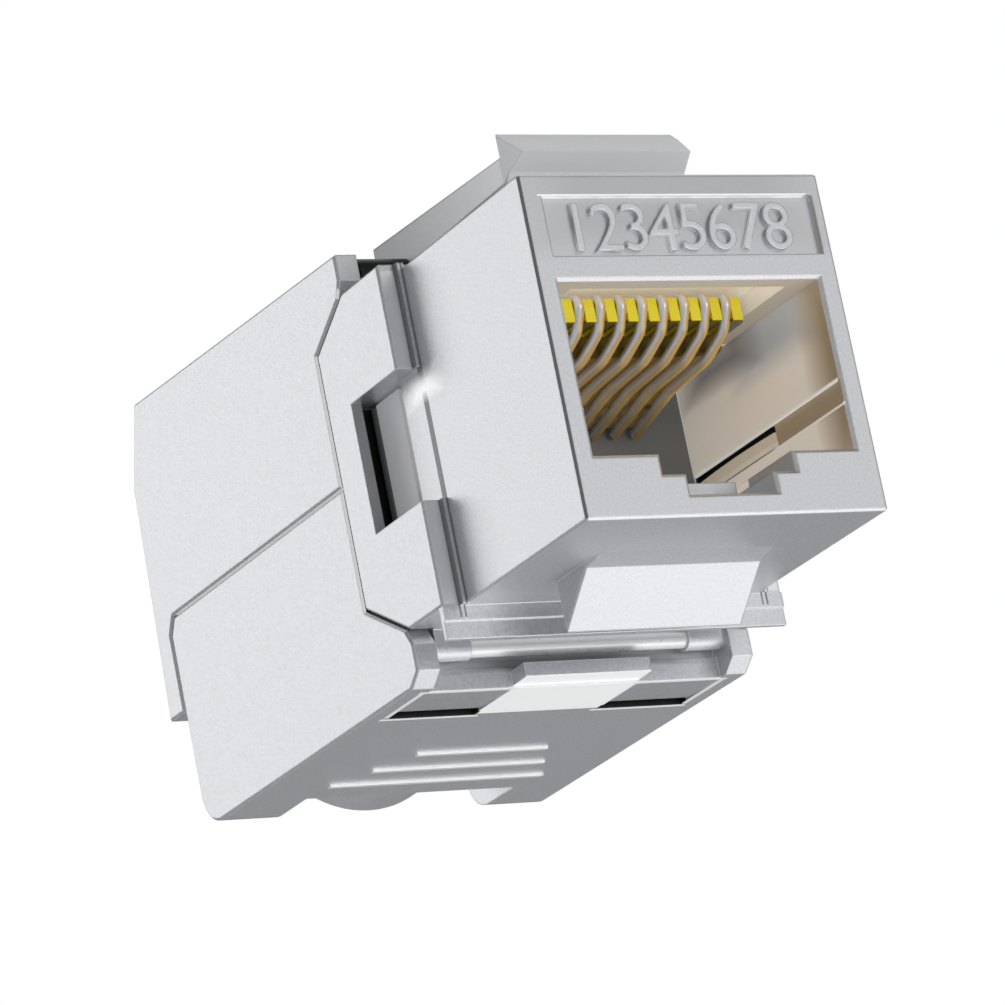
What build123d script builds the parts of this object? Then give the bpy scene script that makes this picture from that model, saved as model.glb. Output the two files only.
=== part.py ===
from build123d import *
import os
from math import hypot

os.makedirs("parts", exist_ok=True)

# A shielded keystone jack. X runs across it, Y runs back from its front face, Z is up.
# The origin is the middle of the front face. All sizes are in millimetres.

# Housing: outside
body_width = 14.5
body_height = 14.95
ear_front = 10.71
ear_length = 6.39
ear_proud = 1.06
ear_top_rise = 0.2
ear_top_chamfer = (3.05, 1.765)
ear_bottom_chamfer = (3.3, 1.97)
notch_top = 4.47
notch_height = 5.85
notch_length = 4.29
window_front = 12.46
window_rear = 15.75
window_skin = 0.5
ear_step = 0.25
flange_drop = 1.43
flange_length = 0.35
flange_setback = 0.12
flange_lip = 0.77
lug_width = 8.6
lug_lead = 1.3
lug_front = 5.6
lug_front_drop = 0.22
lug_catch = 8.1
lug_drop = 2.2
label_width = 13.1
label_offset = 0.24
label_top = 0.95
label_height = 2.65
label_depth = 0.25
edge_break = 0.1

# Housing: port
port_width = 12.54
port_top = 4.68
port_height = 7.52
port_depth = 12.4
port_rim = 0.15
key_width = 6.37
key_drop = 0.88
nose_width = 4.15
nose_drop = 0.9
nose_length = 3.2
nose_lip_width = 4.4
nose_lip_rise = 0.62
nose_lip_length = 0.4
relief_width = 10.4
relief_height = 0.85
relief_front = 0.95
groove_drop = 4.46
groove_height = 1.0
groove_depth = 0.45
groove_front_depth = 0.15
pocket_width = 12.7
pocket_height = 13.0
pocket_top = 1.0

# Hinges
pin_radius = 0.4
pin_clearance = 0.05
seat_clearance = 0.02
upper_pin_y = 14.95
upper_pin_rise = 1.3
upper_knuckle_radius = 0.75
upper_knuckle_inner = 4.5
lower_pin_y = 14.5
lower_pin_drop = 0.75
lower_knuckle_radius = 0.52
lower_knuckle_inner = 5.36
knuckle_web = 0.9
pin_engagement = 0.8

# Covers
cover_gap = 0.13
cover_wall = 1.1
side_gap = 0.15
seam_drop = 7.46
seam_gap = 0.12
cover_length = 34.75
upper_front = 14.08
upper_rise_front = 1.97
upper_rise_rear = 2.61
upper_slope_setback = 0.37
upper_slope_drop = 0.95
upper_back_proud = 1.11
tongue_proud = 1.61
upper_cheek_rise = 0.8
upper_cheek_run = 0.42
roof_cut = 16.4
latch_bay = 19.6
lower_front = 13.77
lower_drop = 2.4
lower_cheek_drop = 0.65
lower_cheek_run = 0.43
lower_chamfer = (0.84, 0.58)
lower_corner_radius = 1.5
floor_thickness = 0.95
floor_front = 15.05
floor_lip_front = 15.25
floor_lip_length = 0.5
floor_lip_rise = 1.55
rear_wall = 1.1
tab_width = 6.2
tab_front = 13.85
tab_rear = 19.1
tab_thickness = 0.62
tab_lift = 0.12
sink_front = 15.3
sink_rear = 18.3
sink_depth = 0.15
sink_half_width = 7.3
slot_length = 0.5
grip_ribs = ((24.35, 6.6), (26.6, 8.7), (28.7, 10.85))
grip_offset = 0.25
grip_width = 0.28
grip_height = 0.12

# Cable entry
cable_drop = 11.83
cable_radius = 4.4
collar_wall = 0.7
collar_length = 2.95
saddle_setback = 5.85
saddle_length = 2.6
saddle_gap = 0.15
cutout_width = 10.6
cutout_length = 4.05
cutout_height = 1.85

# Panel latch
latch_width = 8.8
latch_tip_width = 8.2
latch_gap = 0.25
latch_boss_radius = 0.95
latch_nose = (4.2, 2.72)
latch_nose_under = (5.28, 2.2)
latch_under = (5.65, 1.78)
latch_under_setback = 2.6
latch_under_drop = 0.13
latch_catch_y = 5.75
latch_ridge_rise = 4.1
latch_arm_rise = 3.05
latch_tail_y = 17.45
latch_tail_rise = 3.5
latch_thickness = 0.9
spring_y = 8.8
spring_radius = 1.05
spring_wire = 0.16
spring_turns = 3.5
spring_sides = 6
spring_pocket_radius = 1.5
spring_pocket_depth = 1.2

# Contacts
contact_count = 8
contact_pitch = 1.02
contact_radius = 0.21
contact_sides = 8
contact_top = 4.25
contact_corners = ((2.95, 4.25), (3.75, 5.555), (5.5, 6.225), (8.7, 6.395), (12.2, 7.145))
contact_bends = (0.3, 0.9, 2.0, 3.0)
tongue_front = 4.4
tongue_thickness = 1.1
comb_front = 3.25
comb_tooth_drop = 5.27
comb_web = 0.2
comb_bar_setback = 0.9
comb_bar_drop = 5.755
comb_lift = 0.33
comb_slot = (10.4, 11.3)
carrier_length = 3.1
carrier_gap = 0.08
wing_reach = 7.15
wing_front = 12.9
wing_length = 2.05
wing_gap = 0.12
wing_rib_gap = 0.2
wing_rib_length = 0.26

# Circuit board, blades and wire cap
board_thickness = 1.2
idc_base = 1.8
idc_tower = 3.4
idc_row_height = 4.3
idc_row_gap = 2.4
idc_per_row = 4
idc_pitch = 3.1
idc_slot = 1.0
blade_thickness = 0.4
blade_slit = 0.32
cap_length = 5.2
cap_tunnel_radius = 2.7
cap_channel = 1.15
stack_gap = 0.08
ground_thickness = 0.2
ground_front = 5.8
ground_seat = 0.1
ground_bow = 0.04
ground_low = 5.4
ground_high = 4.75

# Places worked out from the sizes
top = body_height / 2
bottom = -body_height / 2
half_body = body_width / 2
half_outside = half_body + ear_proud
half_inside = half_outside - cover_wall
half_core = half_inside - side_gap
ear_rear = ear_front + ear_length
upper_pin_z = top + upper_pin_rise
lower_pin_z = bottom - lower_pin_drop
seam_z = top - seam_drop
cable_z = top - cable_drop
upper_slope_y = cover_length - upper_slope_setback
upper_back_y = cover_length + upper_back_proud
tongue_end_y = cover_length + tongue_proud
collar_front = cover_length - collar_length
saddle_front = cover_length - saddle_setback
cutout_front = cover_length - cutout_length
floor_z = bottom - lower_drop
port_top_z = top - port_top
port_floor_z = port_top_z - port_height
board_front = port_depth + carrier_length + stack_gap
idc_front = board_front + board_thickness + stack_gap
idc_rear = idc_front + idc_base + idc_tower
cap_front = idc_rear + stack_gap
pocket_mid_z = top - pocket_top - pocket_height / 2


def block(x0, x1, y0, y1, z0, z1):
    """A box between two corners."""
    return Pos((x0 + x1) / 2, (y0 + y1) / 2, (z0 + z1) / 2) * Box(x1 - x0, y1 - y0, z1 - z0)


def across(points, x0, x1):
    """A side outline of (y, z) points carried across from x0 to x1."""
    outline = make_face(Polyline(*points, close=True))
    return extrude(Plane.YZ.offset(x0) * outline, x1 - x0)


def rod(radius, x0, x1, y, z):
    """A round bar along X."""
    return Pos((x0 + x1) / 2, y, z) * Rot(0, 90, 0) * Cylinder(radius, x1 - x0)


def barrel(radius, y0, y1, x, z):
    """A round bar along Y."""
    return Pos(x, (y0 + y1) / 2, z) * Rot(90, 0, 0) * Cylinder(radius, y1 - y0)


def both_sides(solid):
    """A solid and its mirror image in the middle plane."""
    return solid + mirror(solid, Plane.YZ)


def save(solid, node):
    """Write one node as a STEP file."""
    solid.label = node
    export_step(solid, f"parts/{node}.step")


def break_ends(solid):
    """Break the sharp edges of the two end faces of a solid carried across X."""
    return chamfer(solid.faces().filter_by(Axis.X).edges(), edge_break)


def ear_top_z(y, gap=0):
    """Height of the ears' upper slope at y, lifted square to it by a gap."""
    slope = ear_top_chamfer[1] / ear_top_chamfer[0]
    return top + ear_top_rise - slope * (y - ear_rear + ear_top_chamfer[0]) + gap * hypot(1, slope)


def ear_bottom_z(y, gap=0):
    """Height of the ears' lower slope at y, lowered square to it by a gap."""
    slope = ear_bottom_chamfer[1] / ear_bottom_chamfer[0]
    return bottom + slope * (y - ear_rear + ear_bottom_chamfer[0]) - gap * hypot(1, slope)


# Housing
def port_outline():
    """Front outline of the plug opening with its two key steps, as (x, z) points."""
    half_port = port_width / 2
    half_key = key_width / 2
    key_z = port_floor_z - key_drop
    return [
        (-half_port, port_top_z),
        (half_port, port_top_z),
        (half_port, port_floor_z),
        (half_key, port_floor_z),
        (half_key, key_z),
        (-half_key, key_z),
        (-half_key, port_floor_z),
        (-half_port, port_floor_z),
    ]


def make_housing():
    body = block(-half_body, half_body, 0, lower_front - 0.3, bottom, top)
    body = chamfer(body.edges().filter_by(Axis.Y) + body.faces().sort_by(Axis.Y)[0].edges(), edge_break)
    body += block(-half_core, half_core, ear_front, ear_rear, bottom, top)
    ear = [
        (ear_front, top + ear_top_rise),
        (ear_rear - ear_top_chamfer[0], top + ear_top_rise),
        (ear_rear, ear_top_z(ear_rear)),
        (ear_rear, ear_bottom_z(ear_rear)),
        (ear_rear - ear_bottom_chamfer[0], bottom),
        (ear_front, bottom),
    ]
    body += break_ends(across(ear, -half_outside, half_outside))

    # Thin stepped flange under the ears
    flange_rear = ear_front + flange_length
    body += block(-half_outside, half_outside, ear_front, flange_rear, bottom - flange_drop + flange_lip, bottom)
    body += block(-half_outside, half_outside, ear_front + flange_setback, flange_rear, bottom - flange_drop, bottom)

    # Fixed lug with its catch face
    lug = [
        (lug_front - lug_lead, bottom + 0.3),
        (lug_front - lug_lead, bottom),
        (lug_front, bottom - lug_front_drop),
        (lug_catch, bottom - lug_drop),
        (lug_catch, bottom + 0.3),
    ]
    body += break_ends(across(lug, -lug_width / 2, lug_width / 2))

    # Steps at the root of the ears, above and below the notch
    step = block(half_body - 0.1, half_body + ear_step, ear_front - ear_step, ear_front + 0.1, bottom,
                 top + ear_top_rise)
    body += both_sides(step)

    # Hinge knuckles on webs
    upper = rod(upper_knuckle_radius, upper_knuckle_inner, half_core, upper_pin_y, upper_pin_z)
    upper += block(upper_knuckle_inner, half_core, upper_pin_y - upper_knuckle_radius,
                   upper_pin_y + knuckle_web - upper_knuckle_radius, top - 0.1, upper_pin_z)
    lower = rod(lower_knuckle_radius, lower_knuckle_inner, half_core, lower_pin_y, lower_pin_z)
    lower += block(lower_knuckle_inner, half_core, lower_pin_y - lower_knuckle_radius,
                   lower_pin_y + knuckle_web - lower_knuckle_radius, lower_pin_z, bottom + 0.1)
    body += both_sides(upper) + both_sides(lower)
    body -= rod(pin_radius + seat_clearance, -half_outside, half_outside, upper_pin_y, upper_pin_z)
    body -= rod(pin_radius + seat_clearance, -half_outside, half_outside, lower_pin_y, lower_pin_z)

    # Notches in the ears and the windows behind them
    notch_rear = ear_front + notch_length
    notch_low = top - notch_top - notch_height
    notch_high = top - notch_top
    notch = block(half_body, half_outside + 1, ear_front - 1, notch_rear, notch_low, notch_high)
    notch += block(pocket_width / 2 - 0.1, half_outside + 1, window_front, notch_rear, notch_low, notch_high)
    notch += block(pocket_width / 2 - 0.1, half_outside - window_skin, window_front, window_rear,
                   notch_low, notch_high)
    body -= both_sides(notch)

    # Port, its key steps, the relief in its ceiling and the grooves in its sides
    face = make_face(Polyline(*port_outline(), close=True))
    port = extrude(Plane.XZ * face, -port_depth)
    port += block(-nose_width / 2, nose_width / 2, 0, nose_length,
                  port_floor_z - key_drop - nose_drop, port_floor_z)
    port += block(-relief_width / 2, relief_width / 2, relief_front, port_depth, port_top_z - 0.1,
                  port_top_z + relief_height)
    groove = block(port_width / 2 - 0.1, port_width / 2 + groove_front_depth, 0.2, port_depth,
                   port_top_z - groove_drop - groove_height, port_top_z - groove_drop)
    groove += block(port_width / 2 - 0.1, port_width / 2 + groove_depth, ground_front - 0.05, port_depth,
                    port_top_z - groove_drop - groove_height, port_top_z - groove_drop)
    body -= port
    body -= both_sides(groove)
    body += block(-nose_lip_width / 2, nose_lip_width / 2, nose_length, nose_length + nose_lip_length,
                  port_floor_z - key_drop - 0.1, port_floor_z - key_drop + nose_lip_rise)
    rim = body.edges().filter_by_position(Axis.Y, -0.01, 0.01)
    rim = rim.filter_by(lambda e: abs(e.center().X) < half_body - 0.5)
    rim = rim.filter_by(lambda e: port_floor_z - key_drop - nose_drop - 0.1 < e.center().Z < port_top_z + 0.1)
    body = chamfer(rim, port_rim)

    # Rear pocket for the inner stack
    body -= block(-pocket_width / 2, pocket_width / 2, port_depth, ear_rear + 1,
                  top - pocket_top - pocket_height, top - pocket_top)

    # Shallow label field over the port, and the seat of the latch spring
    body -= block(label_offset - label_width / 2, label_offset + label_width / 2, -1, label_depth,
                  top - label_top - label_height, top - label_top)
    body -= Pos(0, spring_y, top - spring_pocket_depth / 2) * Cylinder(spring_pocket_radius, spring_pocket_depth)
    return body


# Hinge pins
def make_pin(y, z):
    reach = half_inside + pin_engagement
    return rod(pin_radius, -reach, reach, y, z)


# Panel latch
def make_latch():
    under_tail = latch_tail_rise - latch_thickness - 0.3
    outline = [
        (latch_nose_under[0], top + latch_nose_under[1]),
        (latch_under[0], top + latch_under[1]),
        (upper_pin_y - latch_under_setback, top + latch_under[1] - latch_under_drop),
        (upper_pin_y - latch_boss_radius, upper_pin_z),
        (upper_pin_y + latch_boss_radius, upper_pin_z),
        (latch_tail_y, top + under_tail),
        (latch_tail_y, top + latch_tail_rise),
        (latch_catch_y, top + latch_arm_rise),
        (latch_catch_y, top + latch_ridge_rise),
        (latch_nose[0], top + latch_nose[1]),
    ]
    half = latch_width / 2
    half_tip = latch_tip_width / 2
    arm = break_ends(across(outline, -half, half))
    plan = [
        (-half_tip, latch_nose[0]),
        (half_tip, latch_nose[0]),
        (half, latch_catch_y),
        (half, latch_tail_y + 1),
        (-half, latch_tail_y + 1),
        (-half, latch_catch_y),
    ]
    arm &= extrude(Plane.XY.offset(top) * make_face(Polyline(*plan, close=True)), latch_ridge_rise + 1)
    arm += rod(latch_boss_radius, -half, half, upper_pin_y, upper_pin_z)
    arm -= rod(pin_radius + pin_clearance, -half - 1, half + 1, upper_pin_y, upper_pin_z)
    return arm


def make_latch_spring():
    foot = top - spring_pocket_depth
    head = top + latch_under[1] - latch_under_drop
    rise = head - foot - 2 * spring_wire - 0.1
    helix = Helix(pitch=rise / spring_turns, height=rise, radius=spring_radius)
    section = Plane(origin=helix @ 0, z_dir=helix % 0) * RegularPolygon(spring_wire, spring_sides)
    coil = sweep(section, path=helix)
    return Pos(0, spring_y, foot + spring_wire + 0.05) * coil


# Upper cover
def make_upper_cover():
    tongue_in = cover_length + cover_gap
    ear_y = ear_rear + cover_gap
    cheek_y = upper_front + upper_cheek_run
    outline = [
        (upper_front, top + upper_rise_front),
        (upper_slope_y, top + upper_rise_rear),
        (upper_back_y, top - upper_slope_drop),
        (tongue_end_y, cable_z),
        (tongue_in, cable_z),
        (tongue_in, seam_z - 0.75),
        (tongue_in - 0.55, seam_z),
        (ear_y, seam_z),
        (ear_y, ear_top_z(ear_y, cover_gap)),
        (cheek_y, ear_top_z(cheek_y, cover_gap)),
        (upper_front, top + upper_cheek_rise),
    ]
    cover = break_ends(across(outline, -half_outside, half_outside))
    inside_rear = cover_length - rear_wall
    cavity = [
        (upper_front - 1, top + upper_rise_front - cover_wall),
        (inside_rear - 1.2, top + upper_rise_rear - cover_wall),
        (inside_rear, top - upper_slope_drop - 1.2),
        (inside_rear, seam_z - 1),
        (upper_front - 1, seam_z - 1),
    ]
    cover -= across(cavity, -half_inside, half_inside)

    # The roof is open over the knuckles, and further back over the latch
    above = top + upper_rise_rear + 1
    cover -= block(-half_inside, half_inside, upper_front - 1, roof_cut, top - 1, above)
    bay = latch_width / 2 + latch_gap
    cover -= block(-bay, bay, upper_front - 1, latch_bay, top - 1, above)

    # Saddle over the cable, hung from the roof on a web
    saddle_rear = saddle_front + saddle_length
    ring = barrel(cable_radius + collar_wall, saddle_front, saddle_rear, 0, cable_z)
    web = block(-cable_radius, cable_radius, saddle_front + 0.6, saddle_rear - 0.6, cable_z + cable_radius,
                top + upper_rise_front - cover_wall / 2)
    ring += web
    ring -= barrel(cable_radius, saddle_front - 1, saddle_rear + 1, 0, cable_z)
    ring_radius = cable_radius + collar_wall
    ring -= block(-ring_radius, ring_radius, saddle_front - 1, saddle_rear + 1, cable_z - ring_radius,
                  cable_z + saddle_gap)
    cover += ring
    cover -= barrel(cable_radius, inside_rear - 1, tongue_end_y + 1, 0, cable_z)

    # Ribs that press on the wire cap
    for share in (0.25, 0.75):
        y = cap_front + share * cap_length
        cover += block(-half_inside, half_inside, y - 0.4, y + 0.4, pocket_mid_z + pocket_height / 2 + 0.1,
                       top + upper_rise_front - cover_wall / 2)
    reach = half_inside + pin_engagement + 0.05
    cover -= rod(pin_radius + pin_clearance, -reach, reach, upper_pin_y, upper_pin_z)
    return cover


# Lower cover
def make_lower_cover():
    seam = seam_z - seam_gap
    ear_y = ear_rear + cover_gap
    cheek_y = lower_front + lower_cheek_run
    outline = [
        (lower_front, floor_z + lower_chamfer[1]),
        (lower_front, bottom - lower_cheek_drop),
        (cheek_y, ear_bottom_z(cheek_y, cover_gap)),
        (ear_y, ear_bottom_z(ear_y, cover_gap)),
        (ear_y, seam),
        (cover_length - 0.55, seam),
        (cover_length, seam - 0.75),
        (cover_length, floor_z),
        (lower_front + lower_chamfer[0], floor_z),
    ]
    cover = across(outline, -half_outside, half_outside)
    heel = cover.edges().filter_by(Axis.X).sort_by(Axis.Z)[0:2].sort_by(Axis.Y)[-1]
    cover = break_ends(fillet(heel, lower_corner_radius))
    inner_floor = floor_z + floor_thickness
    cover -= block(-half_inside, half_inside, floor_front, cover_length - rear_wall, inner_floor, top)
    cover -= block(-half_inside, half_inside, lower_front - 1, floor_front, floor_z - 1, top)

    # Lip along the floor's front edge, behind the pin
    cover += block(-half_inside - 0.1, half_inside + 0.1, floor_lip_front, floor_lip_front + floor_lip_length,
                   inner_floor - 0.1, floor_z + floor_lip_rise)

    # Thumb tab under the pin, between two sunk fields with a slot behind each
    half_tab = tab_width / 2
    tab = [
        (tab_front, floor_z + tab_lift),
        (tab_rear, floor_z),
        (tab_rear, floor_z + tab_thickness),
        (tab_front, floor_z + tab_lift + tab_thickness),
    ]
    cover += across(tab, -half_tab, half_tab)
    sink = [
        (sink_front, floor_z - 0.1),
        (sink_front, floor_z),
        (sink_rear, floor_z + sink_depth),
        (sink_rear + slot_length, floor_z + sink_depth),
        (sink_rear + slot_length, floor_z - 0.1),
    ]
    cover -= both_sides(across(sink, half_tab, sink_half_width))
    slot = block(half_tab, sink_half_width, sink_rear, sink_rear + slot_length, floor_z - 0.1, inner_floor + 0.1)
    cover -= both_sides(slot)

    # Grip ribs
    for y, length in grip_ribs:
        cover += block(grip_offset - length / 2, grip_offset + length / 2, y - grip_width / 2,
                       y + grip_width / 2, floor_z - grip_height, floor_z + 0.1)

    # Cable hole, cut-out and half collar
    cover -= barrel(cable_radius, cover_length - rear_wall - 1, cover_length + 1, 0, cable_z)
    cover -= block(-cable_radius, cable_radius, cover_length - rear_wall - 1, cover_length + 1, cable_z, top)
    cover -= block(-cutout_width / 2, cutout_width / 2, cutout_front, cover_length + 1, floor_z - 1,
                   floor_z + cutout_height)
    collar = barrel(cable_radius + collar_wall, collar_front, cover_length, 0, cable_z)
    collar -= barrel(cable_radius, collar_front - 1, cover_length + 1, 0, cable_z)
    collar -= block(-half_inside, half_inside, collar_front - 1, cover_length + 1, cable_z, top)
    cover += collar
    reach = half_inside + pin_engagement + 0.05
    cover -= rod(pin_radius + pin_clearance, -reach, reach, lower_pin_y, lower_pin_z)
    return cover


# Contact parts
def contact_places():
    """X of each contact wire."""
    return [contact_pitch * (i - (contact_count - 1) / 2) for i in range(contact_count)]


def make_contact(x):
    """One wire, rolled near round: along the ceiling, round its nose and down to its tail."""
    corners = [(x, board_front - stack_gap, top - contact_top)]
    corners += [(x, y, top - drop) for y, drop in contact_corners]
    wire = FilletPolyline(*corners, radius=contact_bends)
    section = Plane(origin=wire @ 0, z_dir=wire % 0) * RegularPolygon(contact_radius, contact_sides)
    return sweep(section, path=wire)


def make_carrier():
    half_pocket = pocket_width / 2 - carrier_gap
    low = top - pocket_top - pocket_height + carrier_gap
    high = top - pocket_top - carrier_gap
    front = port_depth + carrier_gap
    body = block(-half_pocket, half_pocket, front, board_front - stack_gap, low, high)
    tongue_top = port_top_z + relief_height - 0.05
    half_tongue = relief_width / 2 - 0.15
    body += block(-half_tongue, half_tongue, tongue_front, front + 0.1, tongue_top - tongue_thickness, tongue_top)
    for x in contact_places():
        hole = contact_radius + seat_clearance
        body -= block(x - hole, x + hole, tongue_front - 1, board_front + 1, top - contact_top - hole,
                      port_top_z + relief_height)

    # Wings that snap into the windows, each with a rib behind it
    wing_rear = wing_front + wing_length
    rib_front = wing_rear + wing_rib_gap
    for y0, y1 in ((wing_front, wing_rear), (rib_front, rib_front + wing_rib_length)):
        wing = block(half_pocket - 0.1, wing_reach, y0, y1, top - notch_top - notch_height + wing_gap,
                     top - notch_top - wing_gap)
        body += both_sides(wing)
    return body


def make_comb():
    """Bar under the carrier's tongue, with a sloped underside over the wires and teeth between them."""
    under = port_top_z + relief_height - 0.05 - tongue_thickness - 0.02
    bar_front = tongue_front + comb_bar_setback
    outline = [(bar_front, under), (bar_front, top - comb_bar_drop)]
    outline += [(y, top - drop + comb_lift) for y, drop in contact_corners[2:]]
    outline += [(contact_corners[-1][0], under)]
    half = contact_pitch * contact_count / 2 + 0.25
    comb = across(outline, -half, half)
    comb -= block(-half + 0.4, half - 0.4, comb_slot[0], comb_slot[1], bottom, under + 1)
    tooth_width = contact_pitch - 2 * contact_radius - 0.12
    for i in range(contact_count + 1):
        x = contact_pitch * (i - contact_count / 2)
        comb += block(x - tooth_width / 2, x + tooth_width / 2, comb_front, tongue_front - 0.02,
                      top - comb_tooth_drop, top - contact_top)
        comb += block(x - tooth_width / 2, x + tooth_width / 2, tongue_front - 0.1, bar_front + 0.1,
                      under - comb_web, under)
    return comb


def make_ground_spring():
    """Leaf in the groove of the port's right wall, bowed into the port."""
    wall_x = port_width / 2 + ground_seat + ground_thickness
    low = port_top_z - ground_low
    high = port_top_z - ground_high
    middle = (ground_front + port_depth) / 2
    ends = [(wall_x, ground_front), (wall_x, port_depth - 0.2)]
    bow = (wall_x - ground_seat - ground_bow, middle)
    outer = ThreePointArc(ends[0], bow, ends[1])
    inner = ThreePointArc((ends[0][0] - ground_thickness, ends[0][1]), (bow[0] - ground_thickness, bow[1]),
                          (ends[1][0] - ground_thickness, ends[1][1]))
    strip = make_face(Curve() + [outer, inner, Line(outer @ 0, inner @ 0), Line(outer @ 1, inner @ 1)])
    return extrude(Pos(0, 0, low) * strip, high - low)


# Board, blades and wire cap
def make_board():
    half = pocket_width / 2 - carrier_gap
    low = top - pocket_top - pocket_height + carrier_gap
    high = top - pocket_top - carrier_gap
    return block(-half, half, board_front, board_front + board_thickness, low, high)


def idc_slots():
    """X and row sign of each blade slot: the upper row first."""
    xs = [idc_pitch * (i - (idc_per_row - 1) / 2) for i in range(idc_per_row)]
    return [(x, row) for row in (1, -1) for x in xs]


def make_idc_block():
    half = pocket_width / 2 - carrier_gap
    low = top - pocket_top - pocket_height + carrier_gap
    high = top - pocket_top - carrier_gap
    body = block(-half, half, idc_front, idc_front + idc_base, low, high)
    for row in (1, -1):
        z0 = pocket_mid_z + row * idc_row_gap / 2
        z1 = z0 + row * idc_row_height
        body += block(-half, half, idc_front + idc_base - 0.1, idc_rear, min(z0, z1), max(z0, z1))
    for x, row in idc_slots():
        z0 = pocket_mid_z + row * (idc_row_gap / 2 + 0.5)
        z1 = pocket_mid_z + row * (idc_row_gap / 2 + idc_row_height + 1)
        body -= block(x - idc_slot / 2, x + idc_slot / 2, idc_front + idc_base, idc_rear + 1,
                      min(z0, z1), max(z0, z1))
    return body


def make_blade(x, row):
    z0 = pocket_mid_z + row * (idc_row_gap / 2 + 0.55)
    z1 = pocket_mid_z + row * (idc_row_gap / 2 + idc_row_height - 0.2)
    middle = (z0 + z1) / 2
    front = idc_front + idc_base + 0.02
    rear = idc_rear - 0.3
    blade = block(x - blade_thickness / 2, x + blade_thickness / 2, front, rear, min(z0, z1), max(z0, z1))
    blade -= block(x - 1, x + 1, front + 0.9, rear + 1, middle - blade_slit / 2, middle + blade_slit / 2)
    return blade


def make_wire_cap():
    half = pocket_width / 2 - carrier_gap
    half_high = idc_row_gap / 2 + idc_row_height
    rear = cap_front + cap_length
    outline = [
        (cap_front, pocket_mid_z - half_high),
        (rear - 1.5, pocket_mid_z - half_high),
        (rear, pocket_mid_z - half_high + 1.5),
        (rear, pocket_mid_z + half_high - 1.5),
        (rear - 1.5, pocket_mid_z + half_high),
        (cap_front, pocket_mid_z + half_high),
    ]
    cap = across(outline, -half, half)
    cap -= barrel(cap_tunnel_radius, cap_front - 1, rear + 1, 0, pocket_mid_z)
    for x, row in idc_slots():
        z1 = pocket_mid_z + row * (half_high + 1)
        cap -= block(x - cap_channel / 2, x + cap_channel / 2, cap_front - 1, cap_front + 2.2,
                     min(pocket_mid_z, z1), max(pocket_mid_z, z1))
    return cap


save(make_housing(), "housing")
save(make_latch(), "panel_latch")
save(make_latch_spring(), "latch_spring")
save(make_pin(upper_pin_y, upper_pin_z), "upper_hinge_pin")
save(make_pin(lower_pin_y, lower_pin_z), "lower_hinge_pin")
save(make_upper_cover(), "upper_cover")
save(make_lower_cover(), "lower_cover")
save(make_carrier(), "contact_carrier")
save(make_comb(), "contact_comb")
for number, place in enumerate(contact_places(), 1):
    save(make_contact(place), f"contact_spring_{number}")
ground_spring = make_ground_spring()
save(ground_spring, "ground_spring_right")
save(mirror(ground_spring, Plane.YZ), "ground_spring_left")
save(make_board(), "circuit_board")
save(make_idc_block(), "idc_block")
for number, (place, row) in enumerate(idc_slots(), 1):
    save(make_blade(place, row), f"idc_blade_{number}")
save(make_wire_cap(), "wire_cap")
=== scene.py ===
import bpy
import numpy as np
from mathutils import Matrix, Vector


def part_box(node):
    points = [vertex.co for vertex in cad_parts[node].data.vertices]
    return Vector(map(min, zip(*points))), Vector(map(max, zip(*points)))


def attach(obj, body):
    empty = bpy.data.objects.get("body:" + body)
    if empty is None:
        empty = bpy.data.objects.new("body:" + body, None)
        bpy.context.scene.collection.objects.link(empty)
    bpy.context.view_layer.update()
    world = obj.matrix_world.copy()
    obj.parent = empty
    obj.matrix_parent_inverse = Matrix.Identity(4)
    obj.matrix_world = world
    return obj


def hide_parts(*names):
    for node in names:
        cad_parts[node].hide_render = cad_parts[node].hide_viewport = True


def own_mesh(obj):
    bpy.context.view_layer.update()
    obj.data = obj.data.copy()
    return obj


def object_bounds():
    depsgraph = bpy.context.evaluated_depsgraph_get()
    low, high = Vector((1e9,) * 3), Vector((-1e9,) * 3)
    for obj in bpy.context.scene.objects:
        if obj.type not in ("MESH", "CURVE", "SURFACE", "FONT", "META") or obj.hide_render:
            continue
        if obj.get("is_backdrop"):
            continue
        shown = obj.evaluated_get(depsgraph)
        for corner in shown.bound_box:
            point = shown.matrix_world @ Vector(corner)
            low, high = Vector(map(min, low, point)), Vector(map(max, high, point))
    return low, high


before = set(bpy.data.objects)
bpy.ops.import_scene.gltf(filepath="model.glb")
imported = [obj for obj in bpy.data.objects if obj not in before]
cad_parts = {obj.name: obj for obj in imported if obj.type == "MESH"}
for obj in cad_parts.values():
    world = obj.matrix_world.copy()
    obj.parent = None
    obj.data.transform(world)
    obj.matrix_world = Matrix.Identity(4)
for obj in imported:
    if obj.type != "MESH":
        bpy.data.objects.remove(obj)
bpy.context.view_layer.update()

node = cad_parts


# Camera and studio.
# The camera stands below and to the left of the jack and looks up at its port, as in the photograph.
# A pale floor that glows a little under the jack lights its sloped faces, and square lamps do the rest.
camera_place = (-0.13666, -0.20740, -0.075985)
camera_right = Vector((0.86658, -0.46232, -0.18787))
camera_down = Vector((-0.02734, 0.33190, -0.94292))
camera_forward = Vector((0.49828, 0.82225, 0.27498))
sensor = 36.0
picture_pixels = 1005
focal_pixels = 6324.57
nearest_seen = 0.005
white = (1, 1, 1, 1)
floor_z = -0.2
floor_size = 3.0
floor_colour = (0.80, 0.80, 0.81, 1)
floor_roughness = 0.7
glow_place = (0.12, -0.075)
glow_reach = 0.30
glow_strength = 1.8
lamp_aim = Vector((0, 0.018, 0))
lamp_distance = 0.6
lamp_size = 0.35
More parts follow.
